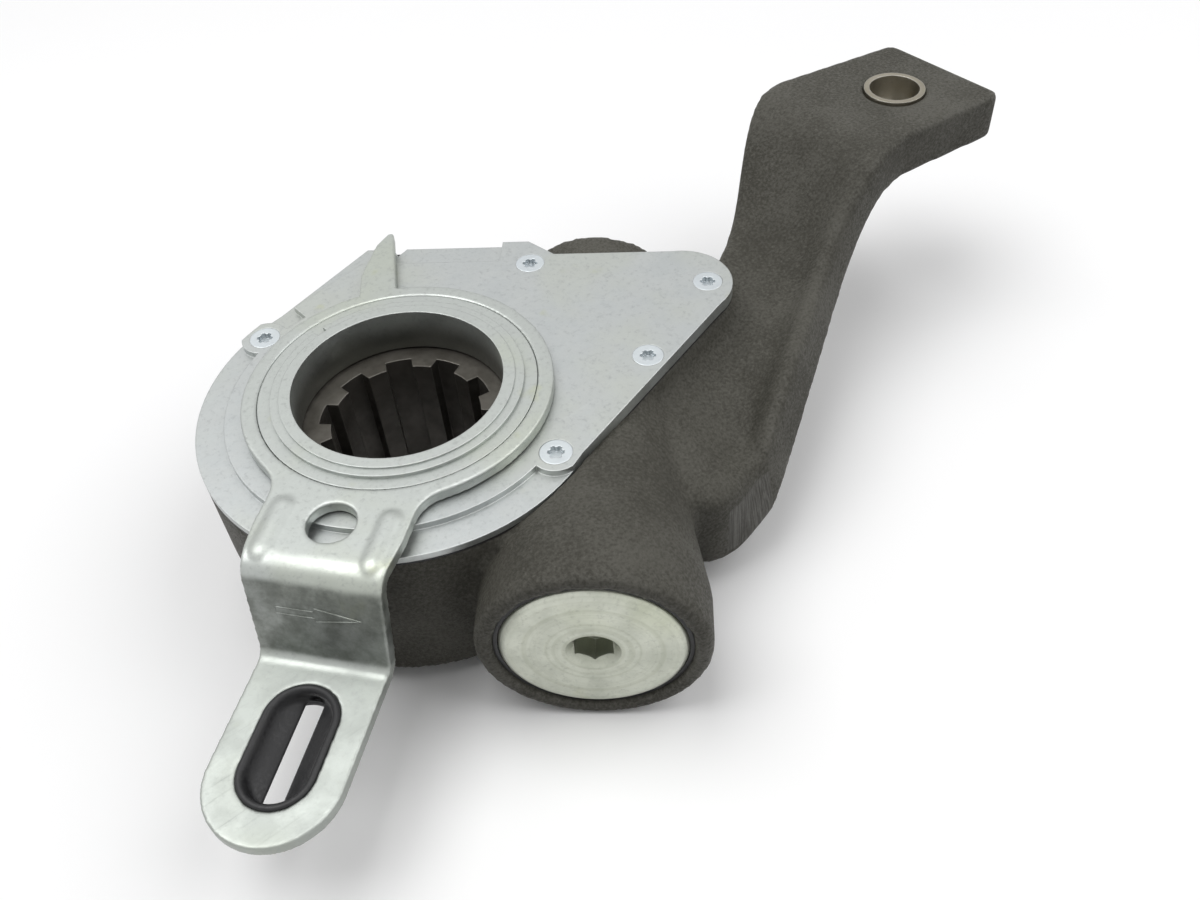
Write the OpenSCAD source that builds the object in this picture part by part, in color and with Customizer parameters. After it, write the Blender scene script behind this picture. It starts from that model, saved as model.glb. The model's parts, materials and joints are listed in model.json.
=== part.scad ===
// Self-setting brake slack adjuster with a forged offset arm
// Origin on the camshaft axis at worm height, +X to the clevis bush, +Z to the cover

/* [Arm] */
// Camshaft axis to clevis pin axis
arm_length = 152.4; // [150:0.1:155]
// Pad end beyond the pin axis
pad_end = 18.1; // [15:0.1:20]
// Height of the pad's top face
pad_z = 33.7; // [32:0.1:35]
// Pad thickness
pad_t = 12.5; // [11:0.1:13]
// Rear half width of the pad at its end
pad_rear = 17.3; // [15:0.1:19]
// Front half width of the pad at its end
pad_front = 19.8; // [17:0.1:20]
// Corner nick of the pad
pad_nick = 1.6; // [0.5:0.1:3]
// Bush bore radius
bush_ri = 6.4; // [6.35:0.01:6.6]
// Bush outer radius
bush_ro = 7.8; // [7.4:0.1:8.4]
// Bush stand-out at each face
bush_proud = 0.3; // [0.1:0.1:1]

/* [Housing] */
// Radius of the round body
drum_r = 43.6; // [43:0.1:45]
// Height of the machined top face
top_z = 17; // [17:0.1:17.2]
// Height of the round body's underside
drum_z = -19.5; // [-20:0.1:-19]
// Height of the resting face
base_z = -23.6; // [-24:0.1:-23.6]
// Radius of the lower hub ring
hub_r = 33; // [31:0.1:35]
// Underside of the rack box
block_z = -4; // [-8:0.5:-2]
// Half width of the foot below the worm tube
foot_half = 8; // [5:0.5:10]

/* [Cover] */
// Cover thickness
cover_t = 3; // [2.8:0.1:3]
// Gasket thickness
gasket_t = 0.5; // [0.4:0.1:0.5]
// Depth of the stepped rim
step_t = 1.5; // [1:0.1:1.8]
// Radius inside the stepped rim
step_r = 37.3; // [36:0.1:38]
// Radius of the far corner
corner_r = 12; // [11:0.1:12.5]
// Far corner centre along the worm
corner_e = 36.4; // [36:0.1:37]
// Far corner centre across the worm
corner_v = 60.4; // [60:0.1:61]
// Rear edge along the worm
rear_e = 53.6; // [53:0.1:54]

/* [Worm drive] */
// Angle from the arm line to the worm axis
worm_angle = 50; // [49:0.5:51]
// Gear module of the wheel
gear_m = 2.5; // [2.5:0.01:2.51]
// Teeth on the wheel
wheel_teeth = 24; // [24:1:24]
// Worm pitch radius
worm_pr = 12; // [12:0.01:12.05]
// Worm thread turns
worm_turns = 4; // [2:2:4]
// Tooth share of the pitch
tooth_share = 0.4; // [0.36:0.01:0.42]
// Half height of the wheel teeth
rim_half = 9; // [7:0.5:10]
// Spline slots in the wheel bore
spline_n = 10; // [10:1:10]
// Spline slot width
spline_w = 5.94; // [5.8:0.01:6]
// Spline root radius
spline_root = 19.05; // [19:0.01:19.1]
// Spline tip radius
spline_tip = 16.4; // [16.2:0.05:16.8]
// Angle of the first spline slot
spline_turn = 28.3; // [0:0.1:36]
// Wheel top face below the collar rim
wheel_drop = 10.9; // [10.9:0.1:11.5]
// Lower journal radius of the wheel
wheel_jr = 24; // [23.5:0.1:24.5]
// Worm shaft radius
shaft_r = 6; // [5.5:0.1:6.2]
// Hex size across flats
hex_af = 11.1; // [10:0.1:11.2]

/* [Rack drive] */
// Pinion module
pinion_m = 1.5; // [1.5:0.01:1.51]
// Pinion teeth
pinion_teeth = 12; // [12:1:12]
// Rack width along the worm
rack_w = 7.6; // [7:0.1:7.8]
// Rack face nearest the wheel
rack_e = 33.5; // [33.5:0.1:33.7]
// Radius of the rack pin's track
track_r = 30.5; // [30.2:0.1:30.8]
// Rack pin radius
rack_pin_r = 2; // [1.8:0.1:2]

/* [Control unit] */
// Height of the collar rim
rim_z = 24.5; // [24.5:0.1:24.8]
// Collar bore radius
collar_ri = 22.5; // [22.3:0.1:22.7]
// Collar outer radius
collar_ro = 25; // [24.9:0.1:25.2]
// Control disc radius
disc_r = 32.6; // [32:0.1:32.7]
// Direction of the control arm
control_angle = -140; // [-142:1:-138]
// Control arm sheet thickness
plate_t = 2.7; // [2.4:0.1:2.7]
// Ring radius of the control arm
ring_r = 33.1; // [32:0.1:34]
// Half width at the ring
root_half = 15; // [14:0.1:16]
// Half width of the slotted end
end_half = 13.2; // [12:0.1:14]
// Centre of the slotted end's round
end_w = 79.6; // [78:0.1:81]
// Top height of the slotted end
slot_z = 1.5; // [0:0.1:3]
// Slant of the riser from upright
riser_tilt = 12; // [8:1:16]
// Start of the first bend
bend_w = 46.5; // [46:0.1:48]
// Inner bend radius
bend_ri = 2.5; // [2:0.1:3]
// Hole radius in the flat
eye_r = 4.85; // [4:0.05:5]
// Hole distance from the camshaft axis
eye_w = 38.5; // [38.5:0.1:39]
// Half width of the slot in the sheet
slot_half = 7.5; // [7:0.1:8]
// Centre of the slot's inner end
slot_w0 = 68; // [67:0.1:69]
// Centre of the slot's outer end
slot_w1 = 78.5; // [77:0.1:79]
// Insert wall thickness
insert_t = 1.9; // [1.5:0.1:2.2]
// Insert depth below the sheet's top
insert_h = 5.6; // [4:0.1:7]

/* [Plug and screws] */
// Plug bore radius
plug_bore_r = 19.6; // [19.4:0.1:19.8]
// Plug head radius
plug_r = 18.7; // [18.4:0.1:19]
// Plug face along the worm
plug_e = 51.5; // [51:0.1:52]
// Boss radius at the plug
boss_r = 23.4; // [23:0.1:23.4]
// Radius of the cast boss behind the cover
far_boss_r = 21.4; // [20:0.1:21.5]
// Screw shank radius
screw_r = 2; // [1.8:0.1:2]
// Screw head radius
screw_head_r = 3.5; // [3.2:0.1:3.6]

/* [Fits] */
// Radial running clearance
fit = 0.05; // [0.03:0.01:0.08]
// Gap between bodies
gap = 0.3; // [0.25:0.05:0.3]

/* [Hidden] */
$fn = 96;

iron = [0.31, 0.3, 0.28];
zinc = [0.72, 0.75, 0.77];
steel = [0.55, 0.54, 0.52];
dark = [0.06, 0.06, 0.06];
bronze = [0.78, 0.72, 0.58];

// Depth at which straight edges enter the round ones
seam = 0.45;
wheel_pr = gear_m * wheel_teeth / 2;
axis_gap = wheel_pr + worm_pr;
pitch = PI * gear_m;
lead_angle = atan(pitch / (2 * PI * worm_pr));
flank = tan(20);
worm_tip = worm_pr + gear_m;
worm_root = worm_pr - 1.2 * gear_m;
wheel_tip = wheel_pr + gear_m;
wheel_root = wheel_pr - 1.1 * gear_m;
worm_half = worm_turns * pitch / 2;
wheel_top = rim_z - wheel_drop;
cavity_r = wheel_tip + 0.7;
cavity_z = -13;
wheel_z = base_z + 0.5;
cover_z = top_z + gasket_t;
cover_top = cover_z + cover_t;
plate_z = cover_top + gap;
plate_top = plate_z + plate_t;
pad_x = arm_length + pad_end;
tan_front = atan2(-corner_v, corner_e) - acos((drum_r - corner_r) / norm([corner_e, corner_v]));
rack_edge_e = corner_e + corner_r - seam / 3;
rear_corner = [rear_e, 17];
tan_rear = atan2(rear_corner.y, rear_corner.x) + acos(drum_r / norm(rear_corner));
screw_spots = [[19.25, 34.3], [44.9, -24.4], [36.4, -66.6], [11, -52.8], [-17.6, -34.4]];
screw_len = 3;
bend_ro = bend_ri + plate_t;
riser_drop = plate_top - bend_ro + (bend_ro + bend_ri) * sin(riser_tilt) - slot_z - bend_ri;
riser_len = riser_drop / cos(riser_tilt);
bend_c = [bend_w, plate_top - bend_ro];
riser_out = polar(1, riser_tilt);
riser_down = [sin(riser_tilt), -cos(riser_tilt)];
foot_c = bend_c + (bend_ro + bend_ri) * riser_out + riser_len * riser_down;
thrust_e = -worm_half - 6.6;
plug_in = plug_e - 10;
chamber_e0 = 26.8;
chamber_e1 = 47;
boss_end = 57;
coil_n = 8;
coil_r = 1.5;
coil_step = (plug_in + thrust_e - 2 * coil_r) / (coil_n - 1);
pinion_pr = pinion_m * pinion_teeth / 2;
pinion_pitch = PI * pinion_m;
rack_top = top_z - gap;
rack_root = pinion_pr + 1.2 * pinion_m;
disc_z = wheel_top + 0.6;
tongue_z = disc_z + gap;
washer_z = plate_top - 1.2;
snap_z = plate_top - 0.2;
snap_t = 0.8;
over = 1;
arm_span = 80;

function polar(r, a) = [r * cos(a), r * sin(a)];
function bezier(p, t) = pow(1 - t, 3) * p[0] + 3 * t * pow(1 - t, 2) * p[1]
  + 3 * t * t * (1 - t) * p[2] + pow(t, 3) * p[3];
function curve(p, n = 10) = [for (i = [0:n]) bezier(p, i / n)];
function turned(p) = [for (i = [len(p) - 1:-1:0]) p[i]];
function involute(rb, r) = let (t = sqrt(r * r / (rb * rb) - 1)) t * 180 / PI - atan(t);

module in_worm_frame() rotate([0, 0, worm_angle]) children();

module on_worm() in_worm_frame() translate([0, -axis_gap, 0]) rotate([0, 90, 0]) children();

module spun(e, points) on_worm() rotate_extrude() polygon([for (p = points) [p[0], p[1] + e]]);

module ring(z, h, ri, ro) translate([0, 0, z]) difference() {
  cylinder(r = ro, h = h);
  translate([0, 0, -over]) cylinder(r = ri, h = h + 2 * over);
}

module worm_ring(e, h, ri, ro) on_worm() ring(e, h, ri, ro);

module capsule(x0, x1, r) {
  translate([x0, 0]) circle(r = r);
  translate([x1, 0]) circle(r = r);
  translate([x0, -r]) square([x1 - x0, 2 * r]);
}

// Slab in the plan of cover, gasket and housing top: round body, rack box and far corner, grown by g
module cover_slab(z, h, g) translate([0, 0, z]) in_worm_frame() {
  corner = [corner_e, -corner_v];
  body = drum_r + g - seam;
  bend = corner_r + g - seam / 3;
  cylinder(r = drum_r + g, h = h);
  translate(corner) cylinder(r = corner_r + g, h = h);
  linear_extrude(h) polygon([[0, 0], polar(body, tan_rear), rear_corner + [g, g], [rear_e + g, -23.4],
    [rack_edge_e + g, -30], corner + [bend, 0], corner, corner + polar(bend, tan_front),
    polar(body, tan_front)]);
}

module at_screws() in_worm_frame() for (p = screw_spots) translate(p) children();

// Plan of the arm from its pad to the front end beside the worm tube
module arm_plan() {
  rear = [[128, 22.8], [112, 18], [104, 2], [80, -8]];
  front = [[138, -17], [113, -21.5], [103.4, -32.5], [62.5, -55.3]];
  polygon(concat([[26, -20]], turned(curve(rear)), [[134, 23.6], [pad_x - pad_nick, pad_rear]],
    [[pad_x, pad_rear - pad_nick], [pad_x, pad_nick - pad_front], [pad_x - pad_nick, -pad_front]],
    curve(front), [[57, -58], [50, -58.8], [38, -57.8], [26, -42]]));
}

// Side profile of the offset, with its root running down to the points given
module arm_side(root_top) {
  upper = [[130, pad_z], [114, pad_z], [112, 17], [90, 15.5]];
  under_z = pad_z - pad_t;
  under = [[138, under_z], [120, under_z], [116, 8], [88, 3]];
  root_under = [[88, 3], [70, -1], [60, -10], [46, -15]];
  rotate([90, 0, 0]) linear_extrude(2 * arm_span, center = true) polygon(concat(
    [[pad_x + over, pad_z]], curve(upper), root_top, [[24, -15]],
    turned(curve(root_under)), turned(curve(under)), [[pad_x + over, under_z]]));
}

// Hollow web falling from the cover's front edge to the front end
module web_side() {
  fall = [[drum_r - 4, 15.2], [drum_r + 5, 10.5], [drum_r + 16, 9.5], [drum_r + 28, 3]];
  rotate([0, 0, worm_angle + tan_front]) rotate([90, 0, 0]) linear_extrude(2 * arm_span, center = true)
    polygon(concat(curve(fall), [[drum_r + 28, -20], [drum_r - 4, -20]]));
}

// Arm: plan crossed with the side profile, and a web between its root and the worm tube
module arm() intersection() {
  translate([0, 0, base_z]) linear_extrude(arm_span) arm_plan();
  union() {
    arm_side(concat(curve([[90, 15.5], [80, 14.6], [68, 13], [56, 4]]), [[24, 3.4]]));
    intersection() {
      arm_side([[90, 15.5], [24, 15]]);
      web_side();
    }
  }
}

module housing() color(iron) difference() {
  union() {
    translate([0, 0, drum_z]) cylinder(r = drum_r - seam, h = top_z - drum_z - over);
    cover_slab(block_z, top_z - block_z, 0);
    translate([0, 0, base_z]) cylinder(r = hub_r, h = drum_z - base_z + over);
    spun(0, [[0, -plug_e], [boss_r - over, -plug_e], [boss_r, over - plug_e], [boss_r, -40], [18.8, -15],
      [18.8, 38], [15, 46], [15, boss_end - over], [15 - over, boss_end], [0, boss_end]]);
    on_worm() translate([1.9, 3, boss_end - 14]) cylinder(r = far_boss_r, h = 14);
    in_worm_frame() translate([-45, -axis_gap - foot_half, base_z]) cube([85, 2 * foot_half, 9]);
    arm();
  }
  cover_slab(top_z, pad_z, gap);
  translate([0, 0, cavity_z]) cylinder(r = cavity_r, h = top_z - cavity_z + over);
  translate([0, 0, base_z - over]) cylinder(r = wheel_jr + fit, h = cavity_z - base_z + 2 * over);
  translate([0, 0, base_z + 2.5]) cylinder(r = wheel_jr + 2, h = 2.5);
  spun(0, [[0, -plug_e - over], [plug_bore_r, -plug_e - over], [plug_bore_r, -plug_in],
    [worm_tip + gap, -plug_in], [worm_tip + gap, worm_half + 6.8], [12, worm_half + 6.8],
    [12, chamber_e0], [12.5, chamber_e0], [12.5, chamber_e1], [9, chamber_e1], [9, boss_end + over],
    [0, boss_end + over]]);
  in_worm_frame() {
    translate([rack_e - 0.5, -62.5, 6.8]) cube([rack_w + 1, 73, top_z]);
    translate([track_r, -8, disc_z]) cube([rack_e - track_r, 16, top_z]);
  }
  at_screws() translate([0, 0, top_z - screw_len]) cylinder(r = screw_r, h = screw_len + over);
  translate([arm_length, 0, 0]) cylinder(r = bush_ro, h = pad_z + over);
}

module arm_bush() color(bronze)
  translate([arm_length, 0, 0]) ring(pad_z - pad_t - bush_proud, pad_t + 2 * bush_proud, bush_ri, bush_ro);

module cover_plate() color(zinc) difference() {
  cover_slab(cover_z, cover_t, 0);
  difference() {
    translate([0, 0, cover_top - step_t]) cylinder(r = 2 * drum_r, h = cover_t);
    cylinder(r = step_r, h = rim_z + over);
    in_worm_frame() linear_extrude(rim_z + over) {
      polygon([[0, 0], polar(60, -117), [60, -90], [60, -17], [46, -17], [46, 17], [30, 30]]);
      for (i = [0, 4]) translate(screw_spots[i]) circle(r = screw_head_r + 1.7);
    }
  }
  translate([0, 0, top_z]) cylinder(r = collar_ro + fit, h = rim_z);
  translate([0, 0, cover_z + 0.8]) cylinder(r = collar_ro + 1.5, h = 1.4);
  at_screws() screw_solid(fit, over);
  in_worm_frame() translate([0, 0, top_z]) linear_extrude(rim_z)
    polygon([[rear_e + over, 6.5], [50.7, 8.9], [rear_e + over, 11]]);
}

module cover_gasket() color(dark) difference() {
  cover_slab(top_z, gasket_t, 0);
  cylinder(r = cavity_r, h = rim_z);
  in_worm_frame() translate([rack_e - 0.5, -62.5, 0]) cube([rack_w + 1, 73, rim_z]);
  at_screws() cylinder(r = screw_r + fit, h = rim_z);
}

// Shank and countersunk head; the cut for it is g wider and runs up through the face by rise
module screw_solid(g, rise) {
  sink = screw_head_r - screw_r;
  translate([0, 0, top_z - screw_len]) cylinder(r = screw_r + g, h = cover_top - top_z + screw_len);
  translate([0, 0, cover_top - sink]) cylinder(r1 = screw_r, r2 = screw_head_r + rise, h = sink + rise);
}

// Countersunk screw with a six-lobed recess
module cover_screw(i) color(zinc) in_worm_frame() translate(screw_spots[i]) difference() {
  screw_solid(0, 0);
  translate([0, 0, cover_top - 1.3]) linear_extrude(2) difference() {
    circle(r = 1.75);
    for (a = [0:60:300]) rotate(a) translate([1.85, 0]) circle(r = 0.5);
  }
}

module end_plug() color(zinc) on_worm() difference() {
  rotate_extrude() polygon(concat([[0, -plug_e], [plug_r - 2, -plug_e]],
    [for (a = [-90:15:0]) [plug_r - 2, 2 - plug_e] + polar(2, a)],
    [[plug_r, 2.5 - plug_e], [plug_bore_r, 2.5 - plug_e], [plug_bore_r, -plug_in], [0, -plug_in]]));
  translate([0, 0, -plug_e - over]) cylinder(r = 4.4, h = 6 + over, $fn = 6);
  translate([0, 0, -plug_e - over]) cylinder(r1 = 6.5, r2 = 4, h = 2.5);
}

module plug_seal() color(dark) worm_ring(1.2 - plug_e, 1.3, plug_r, plug_bore_r);

// Strong spring behind the plug, drawn as closed coils
module main_spring() color(steel) on_worm() rotate_extrude()
  for (i = [0:coil_n - 1]) translate([12, coil_r - plug_in + i * coil_step]) circle(r = coil_r, $fn = 32);

module thrust_ring() color(steel) worm_ring(thrust_e, 3.3, shaft_r + 0.4, worm_tip + gap);

module shaft_bush() color(bronze)
  worm_ring(worm_half + 6.8, chamber_e0 - worm_half - 6.8, shaft_r + fit, 12);

module shaft_seal() color(dark) worm_ring(boss_end - 5, 4.5, shaft_r + fit, 9);

module sleeve_seal() color(dark) ring(cover_z + 0.8, 1.4, collar_ro + fit, collar_ro + 1.5);

module wheel_seal() color(dark) ring(base_z + 2.5, 2.5, wheel_jr + fit, wheel_jr + 2);

// Wheel with teeth leaned by the worm's lead angle and a splined bore
module worm_wheel() color(steel) difference() {
  union() {
    translate([0, 0, cavity_z + gap]) cylinder(r = wheel_root, h = wheel_top - cavity_z - gap);
    translate([0, 0, wheel_z]) cylinder(r = wheel_jr, h = wheel_top - wheel_z);
    intersection() {
      translate([0, 0, -rim_half]) cylinder(r = wheel_tip, h = 2 * rim_half);
      for (i = [1:wheel_teeth])
        rotate([0, 0, worm_angle - 90 + 360 * (i + 0.5) / wheel_teeth])
        rotate([lead_angle, 0, 0]) wheel_tooth();
    }
  }
  translate([0, 0, wheel_z - over]) linear_extrude(rim_z - wheel_z) {
    circle(r = spline_tip);
    for (i = [1:spline_n]) rotate(spline_turn + 360 * i / spline_n) intersection() {
      circle(r = spline_root);
      translate([0, -spline_w / 2]) square([2 * spline_root, spline_w]);
    }
  }
}

module wheel_tooth() {
  half = tooth_share * pitch / 2;
  deep = wheel_pr - wheel_root + over;
  translate([0, 0, -2 * rim_half]) linear_extrude(4 * rim_half) polygon([
    [wheel_pr - deep, -half - deep * flank], [wheel_tip + over, (gear_m + over) * flank - half],
    [wheel_tip + over, half - (gear_m + over) * flank], [wheel_pr - deep, half + deep * flank]]);
}

// Single-start thread: the cross-section's radius follows the axial tooth form round one turn
module worm_thread() color(steel) {
  half = tooth_share * pitch / 2;
  tip_a = (half - gear_m * flank) * 360 / pitch;
  root_a = (half + (worm_pr - worm_root) * flank) * 360 / pitch;
  on_worm() linear_extrude(2 * worm_half, center = true, twist = 360 * worm_turns,
    slices = 24 * worm_turns, $fn = 24)
    rotate(90) polygon(concat(
      [for (i = [-2:2]) polar(worm_tip, tip_a * i / 2)],
      [for (i = [1:5]) polar(worm_tip + (worm_root - worm_tip) * i / 5, tip_a + (root_a - tip_a) * i / 5)],
      [for (i = [1:9]) polar(worm_root, root_a + (360 - 2 * root_a) * i / 9)],
      [for (i = [1:4]) polar(worm_root + (worm_tip - worm_root) * i / 5,
        (root_a - tip_a) * i / 5 - root_a)]));
}

module worm_nose() color(steel) spun(-worm_half,
  [[0, 0], [worm_root - 0.5, 0], [worm_root - 0.5, -1.5], [13.5, -1.5], [13.5, -3], [shaft_r, -3],
  [shaft_r, -18], [0, -18]]);

module worm_shaft() color(steel) {
  spun(worm_half, [[0, 0], [worm_root - 0.5, 0], [worm_root - 0.5, 6.5], [shaft_r, 6.5],
    [shaft_r, boss_end + 0.5 - worm_half], [0, boss_end + 0.5 - worm_half]]);
  on_worm() translate([0, 0, boss_end + 0.5]) cylinder(r = hex_af / sqrt(3), h = 8, $fn = 6);
}

// Cone clutch ring on the worm's shoulder
module clutch_ring() color(steel) on_worm() rotate_extrude() polygon([[worm_root - 0.5, worm_half + 1],
  [13.2, worm_half + 1], [14.2, worm_half + 5.5], [worm_root - 0.5, worm_half + 5.5]]);

module pinion() color(steel) on_worm() difference() {
  union() {
    translate([0, 0, chamber_e0 + 0.4]) cylinder(r = 7, h = chamber_e1 - chamber_e0 - 0.8);
    translate([0, 0, rack_e]) linear_extrude(rack_w) pinion_form();
  }
  translate([0, 0, chamber_e0 - over]) cylinder(r = shaft_r + fit, h = chamber_e1 - chamber_e0 + 2 * over);
}

module pinion_form() {
  base = pinion_pr * cos(20);
  tip = pinion_pr + pinion_m;
  root = pinion_pr - 1.25 * pinion_m;
  half = 0.42 * 180 / pinion_teeth + involute(base, pinion_pr);
  radii = [for (i = [0:4]) base + (tip - base) * i / 4];
  circle(r = root);
  for (k = [1:pinion_teeth]) rotate(360 * k / pinion_teeth) polygon(concat(
    [[0, 0], polar(root - 0.3, -half)], [for (r = radii) polar(r, involute(base, r) - half)],
    turned([for (r = radii) polar(r, half - involute(base, r))]), [polar(root - 0.3, half)]));
}

module wrap_spring() color(steel) on_worm() rotate_extrude()
  for (i = [0:3]) translate([7.7, chamber_e0 + 1.6 + 1.3 * i]) circle(r = 0.75, $fn = 32);

// Rack over the pinion; its pin drops into the control disc's notch
module rack() color(steel) in_worm_frame() {
  half = 0.42 * pinion_pitch / 2;
  add = 0.75 * pinion_m;
  translate([rack_e, 0, 0]) rotate([90, 0, 90]) linear_extrude(rack_w) {
    translate([-56, rack_root]) square([60, rack_top - rack_root]);
    for (k = [-2.5:2.5]) translate([k * pinion_pitch - axis_gap, pinion_pr]) polygon([
      [add * flank - half, -add], [half - add * flank, -add],
      [half + 2 * pinion_m * flank, 2 * pinion_m], [-half - 2 * pinion_m * flank, 2 * pinion_m]]);
  }
  translate([track_r, -1.3, tongue_z]) cube([rack_e - track_r + over, 2.6, rack_top - tongue_z]);
  translate([track_r, 0, tongue_z]) cylinder(r = rack_pin_r, h = rack_top - tongue_z);
}

function bend(c, r, a0, a1) = [for (i = [0:12]) c + polar(r, a0 + (a1 - a0) * i / 12)];

// Side section of the cranked sheet: flat, bend, slanted riser, bend, slotted end
module sheet_section() polygon(concat(
  [[-2 * ring_r, plate_z], [-2 * ring_r, plate_top]], bend(bend_c, bend_ro, 90, riser_tilt),
  bend(foot_c, bend_ri, 180 + riser_tilt, 270),
  [[end_w + end_half, slot_z], [end_w + end_half, slot_z - plate_t]],
  bend(foot_c, bend_ro, 270, 180 + riser_tilt), bend(bend_c, bend_ri, riser_tilt, 90)));

module sheet_plan() {
  fillet_r = 8;
  fillet_c = [sqrt(pow(ring_r + fillet_r, 2) - pow(root_half + fillet_r, 2)), root_half + fillet_r];
  circle(r = ring_r);
  translate([end_w, 0]) circle(r = end_half);
  for (m = [0, 1]) mirror([0, m]) {
    polygon([[0, 0], [0, root_half], [bend_w - 6, root_half], [bend_w + 3, root_half - 1],
      [foot_c.x, end_half], [end_w, end_half], [end_w, 0]]);
    difference() {
      polygon([[20, 10], fillet_c * ring_r / (ring_r + fillet_r), fillet_c, [fillet_c.x, 10]]);
      translate(fillet_c) circle(r = fillet_r);
    }
  }
  rotate(-control_angle) polygon([polar(31, 60), polar(55, 60.2), polar(55.3, 61.5), polar(51.2, 65),
    polar(44, 69), polar(40.5, 71.5), polar(31, 76)]);
}

// Pressed bead standing out of the flat
module bead() {
  r = 4;
  intersection() {
    translate([0, 0, plate_top + 0.8 - r]) {
      translate([36, 0, 0]) sphere(r = r);
      translate([46, 0, 0]) sphere(r = r);
      translate([36, 0, 0]) rotate([0, 90, 0]) cylinder(r = r, h = 10);
    }
    translate([0, -r, plate_z + over]) cube([60, 2 * r, plate_t]);
  }
}

module control_arm() color(zinc) rotate([0, 0, control_angle]) difference() {
  union() {
    intersection() {
      translate([0, 0, slot_z - 2 * plate_t]) linear_extrude(plate_top + 2 * plate_t) sheet_plan();
      rotate([90, 0, 0]) linear_extrude(4 * ring_r, center = true) sheet_section();
    }
    for (s = [-1, 1]) translate([0, 11 * s, 0]) bead();
  }
  translate([0, 0, plate_z - over]) cylinder(r = collar_ro, h = plate_t + 2 * over);
  translate([0, 0, washer_z]) cylinder(r = 29.7, h = plate_t);
  translate([eye_w, 0, plate_z - over]) cylinder(r = eye_r, h = plate_t + 2 * over);
  translate([0, 0, slot_z - 2 * plate_t]) linear_extrude(3 * plate_t) capsule(slot_w0, slot_w1, slot_half);
}

module slot_insert() color(dark) rotate([0, 0, control_angle]) translate([0, 0, slot_z + 0.4 - insert_h])
  linear_extrude(insert_h) difference() {
    capsule(slot_w0, slot_w1, slot_half);
    capsule(slot_w0, slot_w1, slot_half - insert_t);
  }

module control_sleeve() color(zinc) difference() {
  ring(disc_z, rim_z - disc_z, collar_ri, collar_ro);
  ring(snap_z, snap_t, collar_ro - 0.5, collar_ro + over);
}

module control_disc() color(steel) difference() {
  ring(disc_z, rack_top + gap - disc_z, collar_ro, disc_r);
  in_worm_frame() translate([0, 0, disc_z - over]) linear_extrude(rim_z)
    capsule(track_r - 0.3, 2 * track_r, rack_pin_r + 0.35);
}

module retaining_washer() color(zinc) ring(washer_z, snap_z - washer_z, collar_ro, 29.6);

module snap_ring() color(zinc) difference() {
  ring(snap_z, snap_t, collar_ro - 0.5, 26.9);
  rotate([0, 0, 100]) translate([collar_ri, -1.2, snap_z - over]) cube([5, 2.4, snap_t + 2 * over]);
}

housing();
arm_bush();
cover_plate();
cover_gasket();
cover_screw(0);  // cover_screw_rear
cover_screw(1);  // cover_screw_edge
cover_screw(2);  // cover_screw_corner
cover_screw(3);  // cover_screw_side
cover_screw(4);  // cover_screw_front
end_plug();
plug_seal();
main_spring();
thrust_ring();
shaft_bush();
shaft_seal();
sleeve_seal();
wheel_seal();
worm_wheel();
worm_thread();
worm_nose();
worm_shaft();
clutch_ring();
pinion();
wrap_spring();
rack();
control_arm();
slot_insert();
control_sleeve();
control_disc();
retaining_washer();
snap_ring();
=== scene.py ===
"""Looks of a self-setting brake slack adjuster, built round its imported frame, in metres."""
import json
import math

import bmesh
import bpy
import numpy as np
from mathutils import Matrix, Vector


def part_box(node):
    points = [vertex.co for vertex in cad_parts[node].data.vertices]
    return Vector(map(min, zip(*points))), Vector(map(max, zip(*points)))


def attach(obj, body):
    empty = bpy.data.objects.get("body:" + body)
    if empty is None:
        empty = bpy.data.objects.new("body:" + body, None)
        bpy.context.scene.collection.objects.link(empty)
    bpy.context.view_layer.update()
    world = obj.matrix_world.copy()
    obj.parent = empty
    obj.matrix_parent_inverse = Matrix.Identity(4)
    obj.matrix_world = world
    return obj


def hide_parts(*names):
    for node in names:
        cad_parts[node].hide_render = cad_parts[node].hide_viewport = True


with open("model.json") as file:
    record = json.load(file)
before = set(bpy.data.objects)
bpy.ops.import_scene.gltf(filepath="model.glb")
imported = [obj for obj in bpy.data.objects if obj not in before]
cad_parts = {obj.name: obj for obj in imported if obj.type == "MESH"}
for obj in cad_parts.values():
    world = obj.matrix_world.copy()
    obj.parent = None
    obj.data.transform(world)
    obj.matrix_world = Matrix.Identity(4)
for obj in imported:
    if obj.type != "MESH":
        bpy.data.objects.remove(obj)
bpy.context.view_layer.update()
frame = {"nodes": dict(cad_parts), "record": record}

MM = 0.001
BASE_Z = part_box("housing")[0][2]
ORIGIN = (0.0, 0.0, 0.0)

# Turn that stands the X direction upright
UPRIGHT = (0.0, math.pi / 2, 0.0)

# Directions, and sizes in mm, that follow the part's source
WORM_ANGLE = math.radians(50)
AXIS_GAP = 42
ARM_LENGTH = 152.4
COLLAR_BORE = 22.5
SCREW_HEAD = 3.5
SCREWS = ["cover_screw_" + end for end in ("rear", "edge", "corner", "side", "front")]
CONTROL_ANGLE = math.radians(-140)
RISER_LEAN = math.radians(12)
RISER_START_OUT = 51.586
RISER_START_UP = 19.381
SLOT_MID = 73.25

# The arm's curves in mm: plan of its outer edge, and side profiles of its top and underside
ARM_FRONT = ((138, -17), (113, -21.5), (103.4, -32.5), (62.5, -55.3))
ARM_TAIL = ((62.5, -55.3), (57, -58), (50, -58.8), (38, -57.8))
ARM_CREST = (((130, 33.7), (114, 33.7), (112, 17), (90, 15.5)), ((90, 15.5), (80, 14.6), (68, 13), (56, 4)))
ARM_KEEL = (((138, 21.2), (120, 21.2), (116, 8), (88, 3)), ((88, 3), (70, -1), (60, -10), (46, -15)))

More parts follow.
